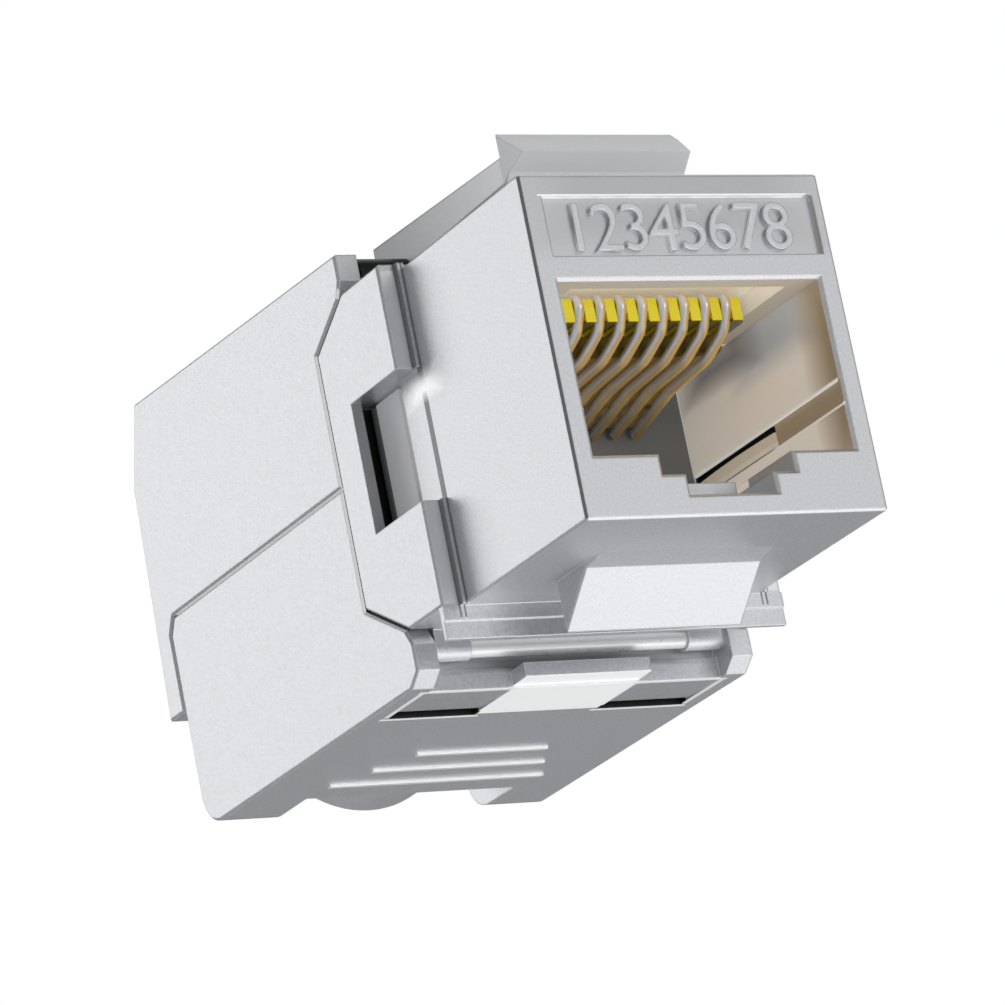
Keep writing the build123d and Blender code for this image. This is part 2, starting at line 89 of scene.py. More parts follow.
lamps = {
    "back_left_lamp": ((-0.5, 0.82, 0.27), 0.56),
    "front_right_lamp": ((0.5, -0.82, 0.27), 0.31),
    "front_left_lamp": ((-0.75, -0.65, 0.05), 0.2),
    "front_low_lamp": ((0.12, -0.9, -0.25), 1.2),
    "top_lamp": ((-0.1, 0.2, 1), 0.5),
    "top_right_lamp": ((0.5, 0.36, 0.79), 0.3),
    "right_lamp": ((1, 0.3, 0.3), 0.3),
}
sky_colour = (0.96, 0.98, 1, 1)
sky_strength = 0.16

camera_data = bpy.data.cameras.new("camera")
camera_data.sensor_width = sensor
camera_data.lens = focal_pixels / picture_pixels * sensor
camera_data.clip_start = nearest_seen
camera = bpy.data.objects.new("camera", camera_data)
turn = Matrix((camera_right, -camera_down, -camera_forward)).transposed()
camera.matrix_world = Matrix.Translation(camera_place) @ turn.to_4x4()
bpy.context.scene.collection.objects.link(camera)
bpy.context.scene.camera = camera
bpy.context.scene.view_settings.view_transform = "Standard"


def mesh_piece(name, points, faces):
    """A mesh object from an array of points and a list of faces."""
    mesh = bpy.data.meshes.new(name)
    mesh.from_pydata(np.asarray(points).tolist(), [], [list(map(int, face)) for face in faces])
    piece = bpy.data.objects.new(name, mesh)
    bpy.context.scene.collection.objects.link(piece)
    return piece


def wire_up(tree, *pairs):
    """Feeds sockets two by two: the first of each pair, a socket or a number, feeds the second."""
    for source, target in pairs:
        if isinstance(source, (int, float)):
            target.default_value = source
        else:
            tree.links.new(source, target)


def maths(tree, operation, *values):
    """One maths node: each value is a number or the socket that feeds it."""
    step = tree.nodes.new("ShaderNodeMath")
    step.operation = operation
    wire_up(tree, *zip(values, step.inputs))
    return step.outputs["Value"]


corner = floor_size / 2
floor_points = [(-corner, -corner, floor_z), (corner, -corner, floor_z),
                (corner, corner, floor_z), (-corner, corner, floor_z)]
floor = mesh_piece("floor", floor_points, [(0, 1, 2, 3)])
floor_paint = bpy.data.materials.new("floor_paint")
floor_paint.use_nodes = True
tree = floor_paint.node_tree
shader = tree.nodes["Principled BSDF"]
shader.inputs["Base Color"].default_value = floor_colour
shader.inputs["Roughness"].default_value = floor_roughness
shader.inputs["Emission Color"].default_value = white
place = tree.nodes.new("ShaderNodeTexCoord")
spread = tree.nodes.new("ShaderNodeMapping")
spread.inputs["Scale"].default_value = (1 / glow_reach, 1 / glow_reach, 0)
spread.inputs["Location"].default_value = (-glow_place[0] / glow_reach, -glow_place[1] / glow_reach, 0)
fade = tree.nodes.new("ShaderNodeTexGradient")
fade.gradient_type = "QUADRATIC_SPHERE"
wire_up(tree, (place.outputs["Object"], spread.inputs["Vector"]),
        (spread.outputs["Vector"], fade.inputs["Vector"]),
        (maths(tree, "MULTIPLY", fade.outputs["Fac"], glow_strength), shader.inputs["Emission Strength"]))
floor.data.materials.append(floor_paint)
floor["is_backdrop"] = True

for name, (direction, watts) in lamps.items():
    lamp = bpy.data.lights.new(name, "AREA")
    lamp.size = lamp_size
    lamp.energy = watts
    light = bpy.data.objects.new(name, lamp)
    light.location = lamp_aim + Vector(direction).normalized() * lamp_distance
    light.rotation_euler = (lamp_aim - light.location).to_track_quat("-Z", "Y").to_euler()
    bpy.context.scene.collection.objects.link(light)

world = bpy.data.worlds.new("studio")
bpy.context.scene.world = world
world.use_nodes = True
tree = world.node_tree
tree.nodes.clear()
ray = tree.nodes.new("ShaderNodeLightPath")
seen = tree.nodes.new("ShaderNodeBackground")
seen.inputs["Color"].default_value = white
lighting = tree.nodes.new("ShaderNodeBackground")
lighting.inputs["Color"].default_value = sky_colour
lighting.inputs["Strength"].default_value = sky_strength
choose = tree.nodes.new("ShaderNodeMixShader")
world_out = tree.nodes.new("ShaderNodeOutputWorld")
wire_up(tree, (ray.outputs["Is Camera Ray"], choose.inputs["Fac"]),
        (lighting.outputs["Background"], choose.inputs[1]), (seen.outputs["Background"], choose.inputs[2]),
        (choose.outputs["Shader"], world_out.inputs["Surface"]))


# Castings: the housing and the two rear covers.
# Zinc castings with a satin nickel plate. Their edges are a little rounded and carry a painted highlight
# with a little glow, and the inside of the port is duller and warmer than the outside.
nickel = (0.83, 0.83, 0.85, 1)
nickel_dark = (0.69, 0.695, 0.72, 1)
# From here on the colours are mostly painted light and shade laid on the plate: highlights, shade lines and
# shadows. The port's lining and the nose grey are partly their own colour and partly painted light.
nickel_edge_highlight = (0.95, 0.95, 0.96, 1)
nickel_shade_line = (0.30, 0.305, 0.32, 1)
painted_highlight = (0.97, 0.97, 0.97, 1)
nickel_shade = (0.60, 0.605, 0.62, 1)
shade = (0.012, 0.012, 0.013, 1)
lining = (0.90, 0.845, 0.77, 1)
lining_cool_light = (0.66, 0.69, 0.75, 1)
lining_deep_shade = (0.40, 0.41, 0.44, 1)
ceiling_shade = (0.66, 0.60, 0.50, 1)
brown_shade = (0.50, 0.40, 0.28, 1)
nose_grey = (0.60, 0.61, 0.63, 1)
window_shade = (0.45, 0.455, 0.47, 1)
cover_shade = (0.36, 0.365, 0.38, 1)
down = (0, 0, -1)
forward = (0, -1, 0)
sideways = (1, 0, 0)
side_front = (0.7071, -0.7071, 0)
grain_close = 8000.0
grain_contrast = 2.4
edge_radius = 0.00009
edge_gain = 4.0
edge_glow = 0.16
plate_metal = 0.8
plate_roughness = 0.34
plate_spread = 0.12
plate_bump = 0.12
plate_bump_depth = 0.00002


def node_group(name, inputs, outputs):
    """A shader node group with the named sockets, each given as its name, kind and, for inputs, its value."""
    group = bpy.data.node_groups.new(name, "ShaderNodeTree")
    for label, kind, value in inputs:
        socket = group.interface.new_socket(name=label, in_out="INPUT", socket_type=kind)
        socket.default_value = value
    for label, kind in outputs:
        group.interface.new_socket(name=label, in_out="OUTPUT", socket_type=kind)
    return group, group.nodes.new("NodeGroupInput"), group.nodes.new("NodeGroupOutput")


def vector_maths(tree, operation, *sources):
    """One vector maths node: each source is the socket that feeds it."""
    step = tree.nodes.new("ShaderNodeVectorMath")
    step.operation = operation
    wire_up(tree, *zip(sources, step.inputs))
    return step.outputs["Value" if operation == "DOT_PRODUCT" else "Vector"]


def mirrored(tree, source):
    """A vector with the left side folded onto the right: its x made positive."""
    sides = tree.nodes.new("ShaderNodeSeparateXYZ")
    folded = tree.nodes.new("ShaderNodeCombineXYZ")
    wire_up(tree, (source, sides.inputs["Vector"]),
            (maths(tree, "ABSOLUTE", sides.outputs["X"]), folded.inputs["X"]),
            (sides.outputs["Y"], folded.inputs["Y"]), (sides.outputs["Z"], folded.inputs["Z"]))
    return folded.outputs["Vector"]


# Fine grain: two noises in object space, a close one for roughness and bump and a wide one for colour
fine_grain, inlet, outlet = node_group(
    "fine_grain",
    [("Close", "NodeSocketFloat", 5000.0), ("Wide", "NodeSocketFloat", 300.0)],
    [("Speckle", "NodeSocketFloat"), ("Cloud", "NodeSocketFloat")],
)
place = fine_grain.nodes.new("ShaderNodeTexCoord")
speckle = fine_grain.nodes.new("ShaderNodeTexNoise")
speckle.inputs["Detail"].default_value = 3
cloud = fine_grain.nodes.new("ShaderNodeTexNoise")
cloud.inputs["Detail"].default_value = 2
sharper = maths(fine_grain, "MULTIPLY_ADD", speckle.outputs["Fac"], grain_contrast, (1 - grain_contrast) / 2)
sharper.node.use_clamp = True
wire_up(fine_grain, (place.outputs["Object"], speckle.inputs["Vector"]),
        (place.outputs["Object"], cloud.inputs["Vector"]), (inlet.outputs["Close"], speckle.inputs["Scale"]),
        (inlet.outputs["Wide"], cloud.inputs["Scale"]), (sharper, outlet.inputs["Speckle"]),
        (cloud.outputs["Fac"], outlet.inputs["Cloud"]))

# Soft edge: the normal rounded over a small radius, and how far it leans from the flat one
soft_edge, inlet, outlet = node_group(
    "soft_edge",
    [("Radius", "NodeSocketFloat", edge_radius)],
    [("Normal", "NodeSocketVector"), ("Edge", "NodeSocketFloat")],
)
rounded = soft_edge.nodes.new("ShaderNodeBevel")
rounded.samples = 6
flat = soft_edge.nodes.new("ShaderNodeNewGeometry")
likeness = vector_maths(soft_edge, "DOT_PRODUCT", rounded.outputs["Normal"], flat.outputs["True Normal"])
edge = maths(soft_edge, "MULTIPLY", maths(soft_edge, "SUBTRACT", 1.0, likeness), edge_gain)
edge.node.use_clamp = True
wire_up(soft_edge, (inlet.outputs["Radius"], rounded.inputs["Radius"]),
        (rounded.outputs["Normal"], outlet.inputs["Normal"]), (edge, outlet.inputs["Edge"]))

# Inside box: one inside a box of object space and nought outside it, the same on the left and the right.
# It is the sharpness times how far the point lies inside, as a share of the half size.
inside_box, inlet, outlet = node_group(
    "inside_box",
    [("Centre", "NodeSocketVector", (0, 0, 0)), ("Half", "NodeSocketVector", (1, 1, 1)),
     ("Sharp", "NodeSocketFloat", 1000.0)],
    [("Mask", "NodeSocketFloat")],
)
place = inside_box.nodes.new("ShaderNodeTexCoord")
split = inside_box.nodes.new("ShaderNodeSeparateXYZ")
folded = mirrored(inside_box, place.outputs["Object"])
offset = vector_maths(inside_box, "SUBTRACT", folded, inlet.outputs["Centre"])
share = vector_maths(inside_box, "DIVIDE", offset, inlet.outputs["Half"])
wire_up(inside_box, (vector_maths(inside_box, "ABSOLUTE", share), split.inputs["Vector"]))
widest = maths(inside_box, "MAXIMUM", split.outputs["X"], split.outputs["Y"])
widest = maths(inside_box, "MAXIMUM", widest, split.outputs["Z"])
depth = maths(inside_box, "MULTIPLY", maths(inside_box, "SUBTRACT", 1.0, widest), inlet.outputs["Sharp"])
depth.node.use_clamp = True
wire_up(inside_box, (depth, outlet.inputs["Mask"]))

# Facing way: one on faces of the piece that look along a direction, the same on the left and the right
facing_way, inlet, outlet = node_group(
    "facing_way",
    [("Direction", "NodeSocketVector", (0, 0, -1)), ("Least", "NodeSocketFloat", 0.8)],
    [("Mask", "NodeSocketFloat")],
)
place = facing_way.nodes.new("ShaderNodeTexCoord")
folded = mirrored(facing_way, place.outputs["Normal"])
likeness = vector_maths(facing_way, "DOT_PRODUCT", folded, inlet.outputs["Direction"])
facing = maths(facing_way, "GREATER_THAN", likeness, inlet.outputs["Least"])
wire_up(facing_way, (facing, outlet.inputs["Mask"]))


def place_group(tree, group, **values):
    """A copy of a node group in a material, with its own values."""
    copy = tree.nodes.new("ShaderNodeGroup")
    copy.node_tree = group
    for label, value in values.items():
        copy.inputs[label].default_value = value
    return copy


def mix_colours(tree, share, first, second):
    """Two colours mixed by a share: each is a colour or the socket that feeds it."""
    mix = tree.nodes.new("ShaderNodeMix")
    mix.data_type = "RGBA"
    tree.links.new(share, mix.inputs["Factor"])
    for socket, value in ((mix.inputs["A"], first), (mix.inputs["B"], second)):
        if isinstance(value, tuple):
            socket.default_value = value
        else:
            tree.links.new(value, socket)
    return mix.outputs["Result"]


def dress(names, material):
    """Gives CAD nodes one material in place of their own."""
    for name in names:
        node[name].data.materials.clear()
        node[name].data.materials.append(material)


def finish(centre, half, colour, glow=0.0, dull=0.0, sharp=1000.0, facing=None):
    """A painted place, mostly painted light and painted shade: a mirrored box, its colour, glow and lack of
    metal, how sharp it ends, and the direction that its faces look, where only those are meant."""
    return centre, half, colour, glow, dull, sharp, facing


def plated_casting(name, painted_patches):
    """Nickel plate with fine grain and a glowing painted highlight along its edges. Each painted patch is
    laid over the ones before it: its mask mixes the colour, the glow and the metallic share towards its own."""
    material = bpy.data.materials.new(name)
    material.use_nodes = True
    tree = material.node_tree
    shader = tree.nodes["Principled BSDF"]
    grain = place_group(tree, fine_grain, Close=grain_close)
    edges = place_group(tree, soft_edge, Radius=edge_radius)
    plate = mix_colours(tree, grain.outputs["Speckle"], nickel_dark, nickel)
    colour = mix_colours(tree, edges.outputs["Edge"], plate, nickel_edge_highlight)
    metal = plate_metal
    light = maths(tree, "MULTIPLY", edges.outputs["Edge"], edge_glow)
    for centre, half, own_colour, glow, dull, sharp, facing in painted_patches:
        mask = place_group(tree, inside_box, Centre=centre, Half=half, Sharp=sharp).outputs["Mask"]
        if facing:
            way = place_group(tree, facing_way, Direction=facing)
            mask = maths(tree, "MULTIPLY", mask, way.outputs["Mask"])
        rest = maths(tree, "SUBTRACT", 1.0, mask)
        colour = mix_colours(tree, mask, colour, own_colour)
        own_metal = plate_metal * (1 - dull)
        light = maths(tree, "MULTIPLY_ADD", mask, glow, maths(tree, "MULTIPLY", rest, light))
        metal = maths(tree, "MULTIPLY_ADD", mask, own_metal, maths(tree, "MULTIPLY", rest, metal))
    roughness = maths(tree, "MULTIPLY_ADD", grain.outputs["Speckle"], plate_spread, plate_roughness)
    bump = tree.nodes.new("ShaderNodeBump")
    bump.inputs["Strength"].default_value = plate_bump
    bump.inputs["Distance"].default_value = plate_bump_depth
    wire_up(tree, (colour, shader.inputs["Base Color"]), (colour, shader.inputs["Emission Color"]),
            (light, shader.inputs["Emission Strength"]), (metal, shader.inputs["Metallic"]),
            (roughness, shader.inputs["Roughness"]), (grain.outputs["Speckle"], bump.inputs["Height"]),
            (edges.outputs["Normal"], bump.inputs["Normal"]),
            (bump.outputs["Normal"], shader.inputs["Normal"]))
    return material


dress(("housing",), plated_casting("housing_casting", (
    # Lining of the port: its own warm, dull colour, lit by a painted glow, with painted cool light high on
    # the walls, painted shade deeper in, and painted brown shade near the mouth and on the ceiling
    finish((0, 0.0064, -0.0013), (0.0068, 0.0062, 0.0052), lining, glow=0.24, dull=0.85),
    finish((0.00627, 0.0042, 0.0022), (0.0008, 0.0044, 0.0020), lining_cool_light,
           glow=0.18, dull=0.6, sharp=1.6, facing=sideways),
    finish((0.00627, 0.0088, 0.0028), (0.0008, 0.0038, 0.0018), lining_deep_shade,
           glow=0.06, dull=0.6, sharp=1.6, facing=sideways),
    finish((0.00627, -0.0004, -0.0010), (0.0008, 0.0030, 0.0090), brown_shade,
           glow=0.1, dull=0.8, sharp=1.4, facing=sideways),
    finish((0, 0.0040, 0.0028), (0.0066, 0.0038, 0.0002), ceiling_shade, glow=0.12, dull=0.85, facing=down),
    # Grooves of the ground springs: painted black shade deep in them, painted brown shade in their front
    # part, and painted highlights with a glow along their lips
    finish((0.0066, 0.0091, -0.00216), (0.00034, 0.0034, 0.00052), shade, dull=1.0),
    finish((0.0065, 0.0030, -0.00216), (0.00026, 0.0029, 0.00052), brown_shade, glow=0.1, dull=0.8),
    finish((0.0063, 0.0063, -0.00163), (0.00008, 0.0061, 0.00008), painted_highlight, glow=0.35),
    finish((0.0063, 0.0030, -0.00269), (0.00012, 0.0029, 0.00007), painted_highlight, glow=0.35),
    # Nose of the port and its lip, grey, with a little painted glow
    finish((0, 0.0019, -0.0056), (0.0036, 0.0018, 0.001), nose_grey, glow=0.06),
    # Shade towards the top of the front face
    finish((0, 0.0, 0.0072), (0.0090, 0.0006, 0.0036), nickel_shade, sharp=2.0, facing=forward),
    # Painted shade line on the upright edges of the front face
    finish((0.0072, 0.0, 0.0), (0.00015, 0.0002, 0.0074), nickel_shade_line, facing=side_front),
    # Painted highlight with a glow on the top edge of the label field
    finish((0, 0.0001, 0.00654), (0.0065, 0.0002, 0.00004), painted_highlight, glow=0.2),
    # Steps where the ears stand out of the body, lit by a little painted glow, and painted shade lines on
    # them
    finish((0.0079, 0.0107, 0), (0.0006, 0.0002, 0.0074), nickel, glow=0.09, facing=forward),
    finish((0.00751, 0.0106, 0), (0.00005, 0.0002, 0.0080), nickel_shade_line, dull=0.5),
    finish((0.00728, 0.0106, 0), (0.00004, 0.0002, 0.0080), nickel_shade_line, dull=0.5),
    # Light caught under the upper end of each notch
    finish((0.00725, 0.0106, 0.0022), (0.0003, 0.0018, 0.0008), painted_highlight,
           glow=0.14, sharp=1.3, facing=sideways),
    # Painted shade on the rear walls of the windows, and the knuckles of the upper hinge painted black
    finish((0.0078, 0.0152, 0), (0.0006, 0.0008, 0.004), window_shade, dull=0.4, facing=forward),
    finish((0.0069, 0.01575, 0), (0.0009, 0.00012, 0.004), shade, dull=0.8, facing=forward),
    finish((0.0059, 0.01495, 0.0087), (0.0016, 0.0010, 0.0010), shade, dull=0.6),
)))
dress(("upper_cover", "lower_cover"), plated_casting("cover_casting", (
    # Thumb tab and grip ribs, which catch the light from below
    finish((0, 0.01625, -0.0098), (0.0031, 0.0024, 0.0003), painted_highlight, glow=0.45, facing=down),
    finish((0, 0.0265, -0.00996), (0.0056, 0.0028, 0.00005), painted_highlight, glow=0.12),
    # Shade under the lower pin
    finish((0, 0.0148, -0.0088), (0.0072, 0.0012, 0.0004), cover_shade, dull=0.4, sharp=2.0, facing=forward),
    # Painted black shade in the slots behind the finger sinks
    finish((0.0052, 0.01855, -0.0094), (0.0022, 0.00027, 0.0006), shade, dull=1.0),
    # Painted highlights with a glow on the lips round the sinks and slots
    finish((0.0052, 0.0152, -0.0098), (0.0024, 0.00012, 0.0002), painted_highlight, glow=0.35),
    finish((0.0052, 0.01895, -0.0098), (0.0024, 0.00012, 0.0002), painted_highlight, glow=0.35),
    finish((0.00742, 0.0170, -0.0098), (0.00012, 0.0017, 0.0002), painted_highlight, glow=0.3),
    # Painted highlights along the seam and beside the ears, and painted shade on the rims between covers and
    # ears
    finish((0.0082, 0.0265, 0.00003), (0.0002, 0.0094, 0.00006), painted_highlight, glow=0.4, facing=down),
    finish((0.0078, 0.0159, 0), (0.0007, 0.0015, 0.0072), shade, dull=0.8, facing=forward),
    finish((0.0082, 0.0159, 0), (0.00015, 0.0016, 0.0080), painted_highlight, glow=0.3, facing=side_front),
)))


# Digits.
# The numbers of the eight contacts, cast proud of the floor of the label field.
digit_count = 8
digit_height = 0.0021
digit_pitch = 0.00138
digit_rise = 0.0002
digit_centre_z = 0.00517
digit_resolution = 6
label_floor_y = 0.00025
digit_metal = plated_casting("digit_casting", ())
for number in range(1, digit_count + 1):
    letter = bpy.data.curves.new(f"digit_{number}", "FONT")
    letter.body = str(number)
    letter.align_x = "CENTER"
    letter.size = 1.0
    letter.extrude = 0.5
    letter.resolution_u = digit_resolution
    typed = bpy.data.objects.new(f"drawn_{number}", letter)
    bpy.context.scene.collection.objects.link(typed)
    bpy.context.view_layer.update()
    cast = bpy.data.meshes.new_from_object(typed.evaluated_get(bpy.context.evaluated_depsgraph_get()))
    bpy.data.objects.remove(typed)
    points = np.empty(len(cast.vertices) * 3)
    cast.vertices.foreach_get("co", points)
    points = points.reshape(-1, 3)
    scale = digit_height / np.ptp(points[:, 1])
    across = points[:, 0] * scale + (number - (digit_count + 1) / 2) * digit_pitch
    upward = (points[:, 1] - (points[:, 1].min() + points[:, 1].max()) / 2) * scale + digit_centre_z
    outward = label_floor_y - (points[:, 2] + letter.extrude) * digit_rise
    cast.vertices.foreach_set("co", np.column_stack([across, outward, upward]).ravel())
    digit = bpy.data.objects.new(f"digit_{number}", cast)
    bpy.context.scene.collection.objects.link(digit)
    digit.data.materials.clear()
    digit.data.materials.append(digit_metal)
    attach(digit, "housing")


# Panel latch.
# A zinc casting like the covers, with a duller plate, painted light at its front and painted shade towards
# the hinge, and glowing a little under its nose and on its sides.
latch_painted_light = (1.0, 1.0, 1.0, 1)
latch_painted_shade = (0.15, 0.155, 0.165, 1)
latch_glow_colour = (0.98, 0.98, 1, 1)
latch_nickel_share = 0.15
latch_metal = 0.1
latch_roughness = 0.34
latch_spread = 0.16
under_nose = (0, -0.43, -0.9)
under_nose_glow = 0.13
latch_side_glow = 0.12
latch_face_least = 0.9
low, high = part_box("panel_latch")
latch_casting = bpy.data.materials.new("latch_casting")
latch_casting.use_nodes = True
tree = latch_casting.node_tree
shader = tree.nodes["Principled BSDF"]
shader.inputs["Metallic"].default_value = latch_metal
shader.inputs["Emission Color"].default_value = latch_glow_colour
grain = place_group(tree, fine_grain, Close=grain_close)
edges = place_group(tree, soft_edge, Radius=edge_radius)
place = tree.nodes.new("ShaderNodeTexCoord")
split = tree.nodes.new("ShaderNodeSeparateXYZ")
rearward = maths(tree, "MULTIPLY_ADD", split.outputs["Y"], 1 / (high.y - low.y), -low.y / (high.y - low.y))
rearward.node.use_clamp = True
plate = mix_colours(tree, rearward, latch_painted_light, latch_painted_shade)
nickel_share = maths(tree, "MULTIPLY", grain.outputs["Speckle"], latch_nickel_share)
nose_mask = place_group(tree, facing_way, Direction=under_nose, Least=latch_face_least).outputs["Mask"]
side_mask = place_group(tree, facing_way, Direction=sideways, Least=latch_face_least).outputs["Mask"]
side_light = maths(tree, "MULTIPLY", side_mask, latch_side_glow)
latch_glow = maths(tree, "MULTIPLY_ADD", nose_mask, under_nose_glow, side_light)
satin = maths(tree, "MULTIPLY_ADD", grain.outputs["Speckle"], latch_spread, latch_roughness)
wire_up(tree, (place.outputs["Object"], split.inputs["Vector"]),
        (mix_colours(tree, nickel_share, plate, nickel), shader.inputs["Base Color"]),
        (latch_glow, shader.inputs["Emission Strength"]), (satin, shader.inputs["Roughness"]),
        (edges.outputs["Normal"], shader.inputs["Normal"]))
dress(("panel_latch",), latch_casting)


# Hinge pins.
# Drawn steel wire, cut to length and pressed through the knuckles. The upper one is blackened.
stock_cloud_width = 12
stock_darker = 0.86
stock_bump = 0.05
stock_bump_depth = 0.00001
steel_glow = 0.05


def stock(name, colour, metallic, roughness, spread, close):
    """A material of one colour whose roughness and bump follow the fine grain."""
    material = bpy.data.materials.new(name)
    material.use_nodes = True
    tree = material.node_tree
    shader = tree.nodes["Principled BSDF"]
    shader.inputs["Metallic"].default_value = metallic
    grain = place_group(tree, fine_grain, Close=close, Wide=close / stock_cloud_width)
    darker = tuple(stock_darker * c for c in colour) + (1,)
    own_colour = mix_colours(tree, grain.outputs["Cloud"], darker, colour + (1,))
    own_roughness = maths(tree, "MULTIPLY_ADD", grain.outputs["Speckle"], spread, roughness - spread / 2)
    bump = tree.nodes.new("ShaderNodeBump")
    bump.inputs["Strength"].default_value = stock_bump
    bump.inputs["Distance"].default_value = stock_bump_depth
    wire_up(tree, (own_colour, shader.inputs["Base Color"]), (own_roughness, shader.inputs["Roughness"]),
            (grain.outputs["Speckle"], bump.inputs["Height"]),
            (bump.outputs["Normal"], shader.inputs["Normal"]))
    return material


def glowing(material, colour, strength):
    """The material itself, with an even glow."""
    shader = material.node_tree.nodes["Principled BSDF"]
    shader.inputs["Emission Color"].default_value = colour
    shader.inputs["Emission Strength"].default_value = strength
    return material


bright = stock("drawn_steel", (0.95, 0.95, 0.96), metallic=0.4, roughness=0.3, spread=0.06, close=3000.0)
black = stock("blackened_steel", (0.05, 0.05, 0.055), metallic=0.8, roughness=0.35, spread=0.1, close=3000.0)
# The lower pin glows a little: painted light.
dress(("lower_hinge_pin",), glowing(bright, white, steel_glow))
dress(("upper_hinge_pin",), black)


# Contact wires.
# Eight spring wires with a gold flash, bent round the nose of the carrier and sloping down to free tails.
# A painted bluish-white highlight, in a stripe, turns round each wire from its bend to its tail.
wire_count = 8
wire_radius = 0.00023
wire_bends = (0.0003, 0.0009, 0.002, 0.003)
wire_corners = (
    (0.0155, 0.003225),
    (0.00295, 0.003225),
    (0.00375, 0.00192),
    (0.0055, 0.00125),
    (0.0087, 0.00108),
    (0.0122, 0.00033),
)
wire_sides = 24
bend_steps = 14
bluish_highlight = (0.74, 0.80, 0.97, 1)
stripe_turns = (0.85, 1.6)
stripe_contrast = 4.5
stripe_shift = -2.9


def rounded_path(corners, radii, steps):
    """Corner points joined by straight runs, with each inner corner replaced by an arc of its radius:
    the arc's points are the centre plus the two radii to its ends, mixed by sine shares of the turn."""
    corners = np.asarray(corners, float)
    points = [corners[:1]]
    for before, here, after, radius in zip(corners[:-2], corners[1:-1], corners[2:], radii):
        back = (before - here) / np.linalg.norm(before - here)
        ahead = (after - here) / np.linalg.norm(after - here)
        turned = np.arccos(np.clip(back @ ahead, -1, 1))
        sweep = np.pi - turned
        setback = radius * np.tan(sweep / 2)
        middle = here + (back + ahead) / np.linalg.norm(back + ahead) * radius / np.sin(turned / 2)
        first = here + back * setback - middle
        last = here + ahead * setback - middle
        share = np.linspace(0, 1, steps)[:, None]
        arc = (np.sin((1 - share) * sweep) * first + np.sin(share * sweep) * last) / np.sin(sweep)
        points.append(middle + arc)
    points.append(corners[-1:])
    return np.vstack(points)


def tube(name, centres, side, radius, sides):
    """A round bar along a path: each ring is its centre plus the radius times the cosine of the angle
    along the side vector and the sine along the vector square to it and to the path. Ends are flat."""
    along = np.gradient(centres, axis=0)
    along /= np.linalg.norm(along, axis=1)[:, None]
    side = side - (side * along).sum(1)[:, None] * along
    side /= np.linalg.norm(side, axis=1)[:, None]
    up = np.cross(along, side)
    angle = np.arange(sides) * 2 * np.pi / sides
    round_ring = np.cos(angle)[None, :, None] * side[:, None] + np.sin(angle)[None, :, None] * up[:, None]
    rings = centres[:, None] + radius * round_ring
    i, j = np.meshgrid(np.arange(len(centres) - 1), np.arange(sides), indexing="ij")
    nearer = i * sides + j
    beside = i * sides + (j + 1) % sides
    quads = np.stack([nearer, beside, beside + sides, nearer + sides], -1).reshape(-1, 4).tolist()
    ends = [list(range(sides))[::-1], list(range((len(centres) - 1) * sides, len(centres) * sides))]
    piece = mesh_piece(name, rings.reshape(-1, 3), quads + ends)
    piece.data.polygons.foreach_set("use_smooth", [True] * len(quads) + [False, False])
    return piece


gold = stock("gold_flash", (0.88, 0.64, 0.26), metallic=0.55, roughness=0.35, spread=0.1, close=4000.0)
tree = gold.node_tree
shader = tree.nodes["Principled BSDF"]
stripe = tree.nodes.new("ShaderNodeAttribute")
stripe.attribute_name = "stripe"
highlight_share = maths(tree, "MULTIPLY_ADD", stripe.outputs["Fac"], stripe_contrast, stripe_shift)
highlight_share.node.use_clamp = True
flash = shader.inputs["Base Color"].links[0].from_socket
wire_up(tree, (mix_colours(tree, highlight_share, flash, bluish_highlight), shader.inputs["Base Color"]))
for number in range(1, wire_count + 1):
    name = f"contact_spring_{number}"
    low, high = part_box(name)
    route = rounded_path(wire_corners, wire_bends, bend_steps)
    centres = np.column_stack([np.full(len(route), (low.x + high.x) / 2), route])
    side = np.tile((1.0, 0.0, 0.0), (len(route), 1))
    wire = tube(f"contact_wire_{number}", centres, side, wire_radius, wire_sides)
    rearward = np.clip((centres[:, 1] - wire_corners[1][0]) / (wire_corners[3][0] - wire_corners[1][0]), 0, 1)
    turned = stripe_turns[0] + (stripe_turns[1] - stripe_turns[0]) * rearward
    angle = np.arange(wire_sides) * 2 * np.pi / wire_sides
    stripe = wire.data.attributes.new("stripe", "FLOAT", "POINT")
    stripe.data.foreach_set("value", np.sin(angle[None, :] - turned[:, None]).ravel())
    wire.data.materials.append(gold)
    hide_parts(name)
    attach(wire, "housing")


# Contact comb and carrier.
# Moulded plastic: yellow teeth that keep the wires apart, on a dark grey block that fills the housing.
# Behind its teeth the comb is painted with olive shade, and further back it is a darker tan brown.
# The block's two snap-in wings are painted light with a little glow.
olive_shade = (0.17, 0.12, 0.012, 1)
tan_brown = (0.55, 0.42, 0.20, 1)
wing_painted_light = (0.86, 0.87, 0.89, 1)
wing_glow = 0.11


def stain(material, centre, half, colour, glow=0.0):
    """Gives a stock material another colour, and a glow of it, inside a box of object space. It lays painted
    shade and painted light, and the comb's darker tan.
    """
    tree = material.node_tree
    shader = tree.nodes["Principled BSDF"]
    mask = place_group(tree, inside_box, Centre=centre, Half=half).outputs["Mask"]
    plain = shader.inputs["Base Color"].links[0].from_socket
    wire_up(tree, (mix_colours(tree, mask, plain, colour), shader.inputs["Base Color"]))
    if glow:
        shader.inputs["Emission Color"].default_value = colour
        wire_up(tree, (maths(tree, "MULTIPLY", mask, glow), shader.inputs["Emission Strength"]))


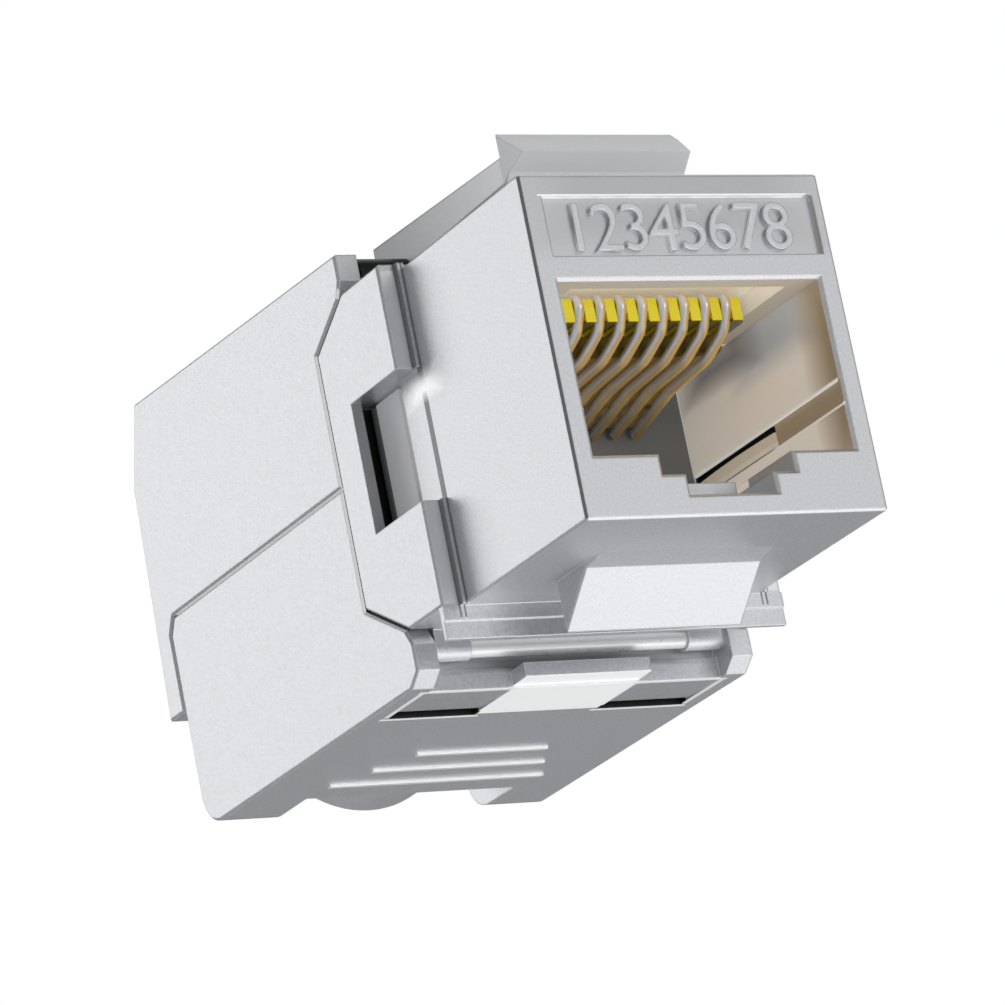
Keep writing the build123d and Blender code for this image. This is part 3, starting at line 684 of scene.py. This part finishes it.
yellow = stock("yellow_moulding", (1.0, 0.86, 0.03), metallic=0.0, roughness=0.35, spread=0.1, close=2500.0)
stain(yellow, (0, 0.0051, 0.0014), (0.006, 0.0018, 0.0009), olive_shade)
stain(yellow, (0, 0.0100, 0.0013), (0.006, 0.0041, 0.0030), tan_brown)
dress(("contact_comb",), yellow)
grey = stock("grey_moulding", (0.20, 0.21, 0.22), metallic=0.0, roughness=0.4, spread=0.12, close=2500.0)
stain(grey, (0.0075, 0.0139, 0), (0.0011, 0.0012, 0.004), wing_painted_light, glow=wing_glow)
dress(("contact_carrier",), grey)


# Ground springs.
# Plated strip, one in each groove of the port, that touches the plug's shield. It glows a little all over,
# and a painted highlight runs along its lower edge.
leaf_highlight = (1.0, 0.97, 0.92, 1)
leaf_glow_colour = (1.0, 0.88, 0.72, 1)
leaf_glow = 0.14
leaf = stock("plated_strip", (0.90, 0.82, 0.70), metallic=0.2, roughness=0.35, spread=0.1, close=3000.0)
stain(leaf, (0.0065, 0.009, -0.00252), (0.0004, 0.0034, 0.00012), leaf_highlight)
dress(("ground_spring_right", "ground_spring_left"), glowing(leaf, leaf_glow_colour, leaf_glow))


# Latch spring.
# A small coil of spring wire between the housing's roof and the latch; on the real jack it shortens as the
# latch is pressed. Here it rides with the housing.
spring_wire = 0.00016
spring_turns = 3.5
spring_steps = 140
spring_sides = 14
low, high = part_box("latch_spring")
angle = np.linspace(0, spring_turns * 2 * np.pi, spring_steps)
outward = np.column_stack([np.cos(angle), np.sin(angle), np.zeros(spring_steps)])
coil_radius = (high.x - low.x) / 2 - spring_wire
coil_axis = ((low.x + high.x) / 2, (low.y + high.y) / 2)
height = np.linspace(low.z + spring_wire, high.z - spring_wire, spring_steps)
centres = outward * coil_radius + np.column_stack([np.tile(coil_axis, (spring_steps, 1)), height])
coil = tube("latch_coil", centres, outward, spring_wire, spring_sides)
steel = stock("spring_steel", (0.62, 0.62, 0.63), metallic=1.0, roughness=0.3, spread=0.1, close=4000.0)
coil.data.materials.append(steel)
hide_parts("latch_spring")
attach(coil, "housing")
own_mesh(coil)


# Board, blades and wire cap.
# The circuit board joins the contact wires to eight split blades, held upright in a white block.
# The cap presses the cable's wires into the blades.
board_green = stock("solder_mask", (0.03, 0.20, 0.09), metallic=0.0, roughness=0.3, spread=0.1, close=2500.0)
off_white = stock("white_moulding", (0.82, 0.82, 0.80), metallic=0.0, roughness=0.4, spread=0.1, close=2500.0)
tinned = stock("tinned_blade", (0.78, 0.77, 0.74), metallic=1.0, roughness=0.3, spread=0.1, close=3000.0)
slate = stock("slate_moulding", (0.25, 0.26, 0.28), metallic=0.0, roughness=0.4, spread=0.1, close=2500.0)
dress(("circuit_board",), board_green)
dress(("idc_block",), off_white)
dress([f"idc_blade_{number}" for number in range(1, wire_count + 1)], tinned)
dress(("wire_cap",), slate)

low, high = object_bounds()
